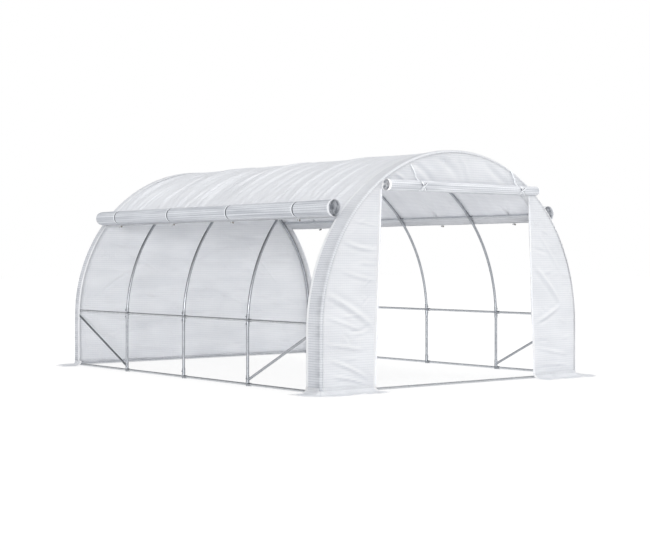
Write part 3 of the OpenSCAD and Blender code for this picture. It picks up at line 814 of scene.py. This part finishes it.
SIDE_X = CLOTH_R + FILM_T
SKIRT_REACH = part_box("side_skirts_right")[1].x - SIDE_X - 4 * MM
SKIRT_FRONT, SKIRT_REAR = HOOP_Y[0] - CLOTH_H - FILM_T, HOOP_Y[-1] + CLOTH_H + FILM_T
front_left = [(-SIDE_X, FRONT_BAND_Y), (-SIDE_X, SKIRT_FRONT), (-DOOR_FOOT, SKIRT_FRONT)]
front_right = [(-x, y) for x, y in reversed(front_left)]
rear = [(SIDE_X, REAR_BAND_Y), (SIDE_X, SKIRT_REAR), (-SIDE_X, SKIRT_REAR), (-SIDE_X, REAR_BAND_Y)]
skirt("skirt_front_left", front_left, 41, ("side_skirts_left", "front_skirts"), SKIRT_REACH)
skirt("skirt_front_right", front_right, 42, ("side_skirts_right", "front_skirts"), SKIRT_REACH)
skirt("skirt_rear", rear, 43, ("side_skirts_left", "side_skirts_right", "rear_skirt"), SKIRT_REACH)

# ---------------------------------------------------------------- straps


def join(pieces, name):
    """One piece from several."""
    pick(*pieces)
    if len(pieces) > 1:
        bpy.ops.object.join()
    pieces[0].name = pieces[0].data.name = name
    return pieces[0]


def settle(piece):
    """Takes a new piece's place, turn and size into its mesh."""
    pick(piece)
    bpy.ops.object.transform_apply(location=True, rotation=True, scale=True)


def softened(width, segments):
    """The primitive just added, with its edges rounded."""
    piece = bpy.context.object
    settle(piece)
    work(piece, "BEVEL", width=width, segments=segments, limit_method="ANGLE")
    return piece


def block(size, place, width, segments=2):
    bpy.ops.mesh.primitive_cube_add(size=1, location=place)
    bpy.context.object.scale = size
    return softened(width, segments)


def rod(vertices, radius, depth, place, width, segments=2, turn=(0, 0, 0)):
    bpy.ops.mesh.primitive_cylinder_add(
        vertices=vertices, radius=radius, depth=depth, location=place, rotation=turn
    )
    return softened(width, segments)


def detail(pieces, name, material):
    """Joins modelled pieces, gives them a material and lets them ride on the frame."""
    made = join(pieces, name)
    made.data.materials.clear()
    made.data.materials.append(material)
    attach(made, "root")
    return made


def copies(piece, places):
    """Copies of a piece modelled at the origin, one at each place and turn, each with its own mesh."""
    made = []
    for place, turn in places:
        extra = piece.copy()
        extra.data = piece.data.copy()
        bpy.context.scene.collection.objects.link(extra)
        extra.location, extra.rotation_euler = place, turn
        settle(extra)
        made.append(extra)
    bpy.data.objects.remove(piece)
    return made


def strap(name, paths, width, thick, material):
    """Flat straps, each along a path of points with the way its face looks and its width's direction."""
    parts = []
    half = np.array([-0.5, -0.42, 0.42, 0.5]) * width
    drop = np.array([0.35, 0.0, 0.0, 0.35]) * thick
    for k, (line, faces, wide) in enumerate(paths):
        line, faces = np.array(line, float), np.array(faces, float)
        wide = np.broadcast_to(np.array(wide, float), line.shape)
        points = line[:, None] + wide[:, None] * half[None, :, None] - faces[:, None] * drop[None, :, None]
        flat = np.stack(np.broadcast_arrays(run_of(line)[:, None], half[None, :]), -1)
        parts.append(cloth_mesh(f"{name}_{k + 1}", points, flat, material, thick=thick))
    return join(parts, name)


STRAP_T = 3 * MM
STRAP_GAP = 0.6 * MM  # between a strap and what it goes round
BOW_T = 1.6 * MM
STRAP_SEWN, STRAP_LEAVES = 130 * MM, 70 * MM  # up the roof from the roll's middle
LOOP_R = 8 * MM
TOGGLE_UP = 13 * MM
TOGGLE_R, TOGGLE_LONG = 7.5 * MM, 34 * MM
TOGGLE_AT = {}
TOGGLE_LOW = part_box("tie_toggles")[0]


def in_section(points, y):
    """Points of the tunnel's cross-section, put at one place along it."""
    return [(x, y, z) for x, z in points]


def side_straps(side):
    """Each strap is sewn to the roof above the roll, runs down over the roll's outside and back under it,
    where a loop at its end holds the toggle."""
    middle, way, tied = ROLL[side]
    upward = math.copysign(1, way.x)
    out = np.array([way.x, way.z])
    rise = np.array([-way.z, way.x]) * upward
    c = np.array([middle.x, middle.z])
    way_a = math.atan2(way.z, way.x)
    paths, loops = [], []
    for y, radius in zip(TIE_Y[side], tied):
        ring = radius + STRAP_T / 2 + STRAP_GAP
        line, faces = [], []
        # on the roof, from its seam down to where it leaves the sheet
        for lead in np.linspace(STRAP_SEWN, STRAP_LEAVES, 7):
            a = way_a + upward * lead / HOOP_R
            n = np.array([math.cos(a), math.sin(a)])
            row = np.argmin(np.abs(ROOF_GRID[0] - way_at(a)))
            near = np.abs(ROOF_GRID[1] - y) < 14 * MM
            roof_h = ROOF_GRID[2][max(row - 1, 0) : row + 2, near].max()
            p = np.array([0, LEG_H]) + n * (HOOP_R + roof_h + 2.5 * MM)
            line.append(p)
            faces.append(n)
        # straight to the roll, touching it at the turn where the line is square to the radius
        q = p - c
        start = math.atan2(q @ rise, q @ out) - math.acos(min(1.0, ring / math.hypot(*q)))
        touch = c + ring * (math.cos(start) * out + math.sin(start) * rise)
        line += [p + (touch - p) * t for t in (0.3, 0.65)]
        faces += [(touch - c) / ring] * 2
        wrap = [math.cos(a) * out + math.sin(a) * rise for a in np.linspace(start, -math.pi * 0.80, 44)]
        line += [c + ring * n for n in wrap]
        faces += wrap
        paths.append((in_section(line, y), in_section(faces, 0), (0, 1, 0)))
        # a narrow loop down round the toggle and up again
        sewn_z = line[-1][1] + 0.5 * MM
        barrel = np.array([line[-1][0], TOGGLE_LOW.z + TOGGLE_UP])
        TOGGLE_AT.setdefault(side, []).append((barrel[0], y, barrel[1]))
        turn = [np.array([math.cos(a), math.sin(a)]) for a in np.linspace(math.pi, 2 * math.pi, 13)]
        legs = [
            [(barrel[0] + x, sewn_z), (barrel[0] + x, barrel[1] + 4 * MM)] for x in (-LOOP_R, LOOP_R)
        ]
        line = [*legs[0], *(barrel + LOOP_R * n for n in turn), *reversed(legs[1])]
        faces = [(-1, 0)] * 2 + turn + [(1, 0)] * 2
        loops.append((in_section(line, y), in_section(faces, 0), (0, 1, 0)))
    made = strap(f"side_straps_{side}", paths, TIE_W + 10 * MM, STRAP_T, STRAP)
    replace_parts(made, f"side_ties_{side}")
    strap(f"toggle_loops_{side}", loops, 10 * MM, BOW_T, PLAIN_STRAP)


for side in SIDES:
    side_straps(side)


def on_door_roll(x, a, reach):
    """The point at angle a above the front of the door roll's cross-section, and the way out there."""
    n = np.array([0, -math.cos(a), math.sin(a)])
    return np.array([x, DOOR_AXIS.y, DOOR_AXIS.z]) + reach * n, n


def door_straps():
    """Each strap hangs slantwise from its seam on the gable, goes round the door roll and is tied in front
    in a bow, which lies crosswise."""
    paths, bows, knots = [], [], []
    slant = 62 * MM
    for x, radius in zip(DOOR_TIE_X, DOOR_TIED):
        ring = radius + STRAP_T / 2 + STRAP_GAP
        line, faces = [], []
        start = math.radians(100)
        foot, foot_n = on_door_roll(x, start, ring)
        top = np.array([x - slant, DOOR_AXIS.y + DOOR_R + 1 * MM - STRAP_T / 2, DOOR_TIE_HIGH.z])
        turn = np.array([foot[0], top[1], foot[2] + 14 * MM])
        for t in np.linspace(0, 1, 8)[:-1]:
            # in front of the gable, which bulges
            forward = np.array([0, -12 * MM * math.sin(math.pi * t) - 2 * MM, 0])
            line.append(top + (turn - top) * t + forward)
            faces.append((0, -1, 0))
        line.append((turn + foot) / 2 + np.array([0, 3 * MM, 3 * MM]))
        between = foot_n + (0, -1, 0)
        faces.append(between / np.linalg.norm(between))
        for a in np.linspace(start, -math.radians(165), 40):
            point, n = on_door_roll(x, a, ring)
            line.append(point)
            faces.append(n)
        paths.append((line, faces, (1, 0, 0)))
        # bow: two folded loops upwards, two longer loose ends downwards
        middle_a = math.radians(-8)
        for way_x, rise_a, long, lift in (
            (-1, 0.66, 36, 9.0), (1, 0.50, 46, 9.5), (-1, -0.80, 46, 6.0), (1, -0.60, 60, 7.0)
        ):
            run = np.linspace(0, 1, 12)
            aside, angles = x + way_x * long * MM * 0.8 * run, middle_a + rise_a * run * long / 40
            stand = ring + STRAP_T + lift * MM * np.sin(1.9 * run)
            line, faces = (np.array(v) for v in zip(*map(on_door_roll, aside, angles, stand)))
            wide = np.cross(np.gradient(line, axis=0), faces)
            wide /= np.linalg.norm(wide, axis=1)[:, None]
            bows.append((line, faces, wide))
            if rise_a > 0:
                bows.append((line + faces * 3.2 * MM * np.sin(np.pi * run ** 0.8)[:, None], faces, wide))
        point, _ = on_door_roll(x, middle_a, ring + 4 * MM)
        knots.append((point, (-middle_a, 0, 0.35)))
    made = strap("door_straps", paths, TIE_W, STRAP_T, PLAIN_STRAP)
    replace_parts(made, "door_ties")
    strap("door_bows", bows, 10 * MM, BOW_T, STRAP)
    knot = block((15 * MM, 8 * MM, 13 * MM), (0, 0, 0), 3.5 * MM, 3)
    knot.data.uv_layers.active.name = "cloth"
    for corner in knot.data.uv_layers.active.data:
        corner.uv = corner.uv * 0.03
    detail(copies(knot, knots), "door_knots", STRAP)


door_straps()


def along_door(side, z, inward):
    """The point beside the door opening at that height, so far in from the zip tape's outer edge."""
    share = (z - WALL_Z) / (DOOR_TOP - WALL_Z)
    half = DOOR_FOOT + (DOOR_HEAD - DOOR_FOOT) * share + ZIP_W - inward
    return half if side == "right" else -half


def door_zips():
    """A tape on each side of the door, its row of teeth, and a slider with its pull at the zip's top."""
    tooth_pitch = 8 * MM  # teeth stand 3 mm apart; drawn wider to show
    for side in SIDES:
        zs = steps(WALL_Z, DOOR_TOP, 12 * MM)
        line = [(along_door(side, z, ZIP_W / 2), ZIP_LOW.y + 1 * MM, z) for z in zs]
        faces = np.tile([0, -1.0, 0], (len(zs), 1))
        made = strap(f"zip_tape_{side}", [(line, faces, (1, 0, 0))], ZIP_W, 1 * MM, ZIP_TAPE)
        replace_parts(made, f"door_zip_{side}")
        count = int((DOOR_TOP - WALL_Z - 60 * MM) / tooth_pitch)
        low = WALL_Z + 12 * MM
        high, top = low + count * tooth_pitch, DOOR_TOP - 55 * MM
        x_low, x_high, x = (along_door(side, z, ZIP_W - 2.5 * MM) for z in (low, high, top))
        y = ZIP_LOW.y + 0.2 * MM
        tooth = block((5 * MM, 1.8 * MM, 4.6 * MM), (x_low, y, low), 0.7 * MM, 1)
        work(
            tooth, "ARRAY", use_relative_offset=False, use_constant_offset=True, count=count,
            constant_offset_displace=((x_high - x_low) / count, 0, tooth_pitch),
        )
        detail([tooth], f"zip_teeth_{side}", ZIP_PLASTIC)
        slider = block((11 * MM, 4.5 * MM, 15 * MM), (x, y - 0.5 * MM, top), 1.6 * MM, 3)
        bpy.ops.mesh.primitive_torus_add(
            major_segments=20, minor_segments=8, major_radius=4.5 * MM, minor_radius=1 * MM,
            location=(x, y - 3.2 * MM, top - 9 * MM), rotation=(math.radians(80), 0, 0),
        )
        ring = bpy.context.object
        ring.scale = (1.0, 1.35, 1.0)
        settle(ring)
        pull = block((8 * MM, 2 * MM, 30 * MM), (x, y - 3.6 * MM, top - 27 * MM), 0.9 * MM)
        detail([slider, ring, pull], f"zip_slider_{side}", ZIP_PLASTIC)


door_zips()

# ---------------------------------------------------------------- toggles and bolts


def toggles():
    """A barrel with rounded ends and a waist, in which the strap's loop sits."""
    lying = (math.radians(90), 0, 0)
    barrel = rod(20, TOGGLE_R, TOGGLE_LONG, (0, 0, 0), 2.2 * MM, 3, turn=lying)
    waist_r = 3.8 * MM
    bpy.ops.mesh.primitive_torus_add(
        major_segments=20, minor_segments=12, major_radius=TOGGLE_R + 2.7 * MM, minor_radius=waist_r,
        rotation=lying,
    )
    groove = bpy.context.object
    settle(groove)
    pick(barrel)
    work(barrel, "BOOLEAN", operation="DIFFERENCE", object=groove)
    bpy.data.objects.remove(groove)
    places = []
    for side in SIDES:
        places += [(place, (math.radians(9 - 6 * k), 0, 0)) for k, place in enumerate(TOGGLE_AT[side])]
    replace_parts(detail(copies(barrel, places), "toggles", TOGGLE_PLASTIC), "tie_toggles")


toggles()


def frame_bolts():
    """A hexagon bolt with a washer through each sleeve: inside the end hoops, elsewhere on the outer side."""
    washer = rod(20, 7 * MM, 1.4 * MM, (0, 0, 0.5 * MM), 0.4 * MM)
    head = rod(6, 5.6 * MM, 4.4 * MM, (0, 0, 3 * MM), 0.8 * MM)
    bolt = join([washer, head], "bolt")
    tee_low, tee_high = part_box("mid_tees_right")
    sleeve_r = tee_high.x - HOOP_R
    tee_z = (tee_low.z + tee_high.z) / 2
    bolt_off = 31 * MM  # from the middle of a tee
    foot_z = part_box("foot_sockets_right")[1].z - 26 * MM
    places = []
    for sign in (-1, 1):
        for i, y in enumerate(HOOP_Y):
            facing = -sign if i in (0, len(HOOP_Y) - 1) else sign
            for z in (tee_z + bolt_off, tee_z - bolt_off, foot_z):
                places.append(((sign * HOOP_R + facing * sleeve_r, y, z), (0, facing * math.pi / 2, 0)))
    detail(copies(bolt, places), "fitting_bolts", BOLT_STEEL)


frame_bolts()

# ---------------------------------------------------------------- floor, light, camera


def direct_rays(tree):
    """Whether a ray looks here straight, through glass or by a mirror, and whether it is a mirror's."""
    seen = [node(tree, "LightPath", out=f"Is {ray} Ray") for ray in ("Camera", "Glossy", "Transmission")]
    either = node(tree, "Math", {0: seen[0], 1: seen[1]}, operation="MAXIMUM")
    return node(tree, "Math", {0: either, 1: seen[2]}, operation="MAXIMUM"), seen[1]


bpy.ops.object.select_all(action="DESELECT")
bpy.ops.mesh.primitive_plane_add(size=120, location=(0, 0, -0.5 * MM))
floor = bpy.context.object
floor.name = "studio_floor"
floor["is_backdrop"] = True
white, tree = new_material("white_studio_floor")
matt = node(tree, "BsdfDiffuse", {"Color": linear("#f1f1f1")})
glow = node(tree, "Emission", {"Color": (1, 1, 1, 1), "Strength": 1.05})
direct, _ = direct_rays(tree)
share = node(tree, "Math", {0: direct, 1: 0.8}, operation="MULTIPLY")
both = node(tree, "MixShader", {0: share, 1: matt, 2: glow})
node(tree, "OutputMaterial", {"Surface": both})
floor.data.materials.append(white)

world = bpy.data.worlds.new("white_studio")
bpy.context.scene.world = world
world.use_nodes = True
world.node_tree.nodes.clear()
sky = world.node_tree
SKY_LEVEL = 0.84
shown, by_mirror = direct_rays(sky)
# bright all round and darker overhead, as in a studio: bare steel mirrors this
way_up = node(sky, "SeparateXYZ", {0: node(sky, "TexCoord", out="Generated")}, out=2)
studio = node(sky, "MapRange", {0: way_up, 1: 0.05, 2: 0.45, 3: 1.0, 4: 0.15}, **SMOOTH)
mirrored = node(sky, "Mix", {0: by_mirror, 2: 1.0, 3: studio})
level = node(sky, "Mix", {0: shown, 2: SKY_LEVEL, 3: mirrored})
back = node(sky, "Background", {"Color": (1.0, 1.0, 1.0, 1.0), "Strength": level})
node(sky, "OutputWorld", {"Surface": back})

for name, from_way, energy, wide in (
    ("key_softbox", (0.25, -0.16, 0.95), 1.2, 40),
    ("fill_softbox", (-0.617, -0.787, 0.07), 1.25, 9),
):
    lamp = bpy.data.lights.new(name, "SUN")
    lamp.energy, lamp.angle = energy, math.radians(wide)
    sun = bpy.data.objects.new(name, lamp)
    sun.rotation_euler = Vector(from_way).to_track_quat("Z", "Y").to_euler()
    bpy.context.scene.collection.objects.link(sun)

lens = bpy.data.cameras.new("camera")
lens.sensor_width = 36
lens.lens = 77.17
lens.shift_x, lens.shift_y = 0.0092, -0.0239
lens.clip_end = 200
camera = bpy.data.objects.new("camera", lens)
camera.location = (-8.325, -10.599, 1.066)
camera.rotation_euler = Euler((math.radians(90), 0, math.radians(-38.376)))
bpy.context.scene.collection.objects.link(camera)
bpy.context.scene.camera = camera
bpy.context.scene.view_settings.view_transform = "Standard"

low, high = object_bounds()
